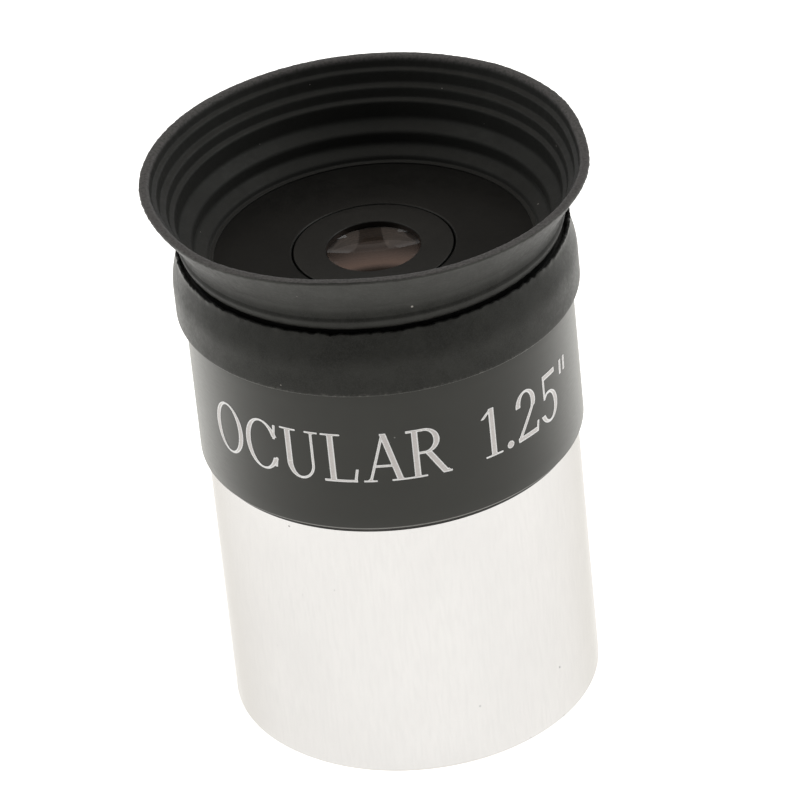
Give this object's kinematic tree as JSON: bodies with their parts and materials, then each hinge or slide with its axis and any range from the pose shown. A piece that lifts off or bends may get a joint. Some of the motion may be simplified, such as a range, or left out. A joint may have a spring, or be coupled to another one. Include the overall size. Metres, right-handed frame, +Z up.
{
  "type": "telescope eyepiece",
  "caption": "Telescope eyepiece with a chromed push-fit barrel, a black housing, a lens cell and a fold-down rubber eyecup.",
  "frame": {"origin": "centre of the barrel's mouth, in the plane of its bottom face", "axes": "+Z up along the optical axis, from the barrel's mouth towards the eye; -Y is the side that carries the lettering"},
  "size_m": [0.038, 0.038, 0.051],
  "materials": {
    "barrel_chrome": "bright chrome plate on brass",
    "housing_black": "satin black anodised",
    "eyecup_rubber": "matt moulded rubber",
    "cell_black": "fine-turned, satin black anodised",
    "ring_black": "turned, matt black anodised",
    "spacer_black": "turned, matt black",
    "lens_glass": "polished, with an anti-reflection coating",
    "marking_paint": "engraved and filled with white paint"
  },
  "bodies": {
    "body": {"barrel": "barrel_chrome", "housing": "housing_black", "eyecup_collar": "eyecup_rubber", "eyecup_skirt": "eyecup_rubber", "lens_cell": "cell_black", "eye_flint": "lens_glass", "eye_crown": "lens_glass", "doublet_spacer": "spacer_black", "field_crown": "lens_glass", "field_flint": "lens_glass", "lens_retainer": "ring_black", "field_stop": "ring_black", "cell_lock_ring": "ring_black"},
    "cup_rim": {"eyecup_rim": "eyecup_rubber"}
  },
  "joints": [
    {"name": "eyecup_fold", "type": "slide", "parent": "body", "child": "cup_rim", "axis": [0, 0, -1], "range_m": [0, 0.0096], "deforming": ["eyecup_skirt"]}
  ]
}
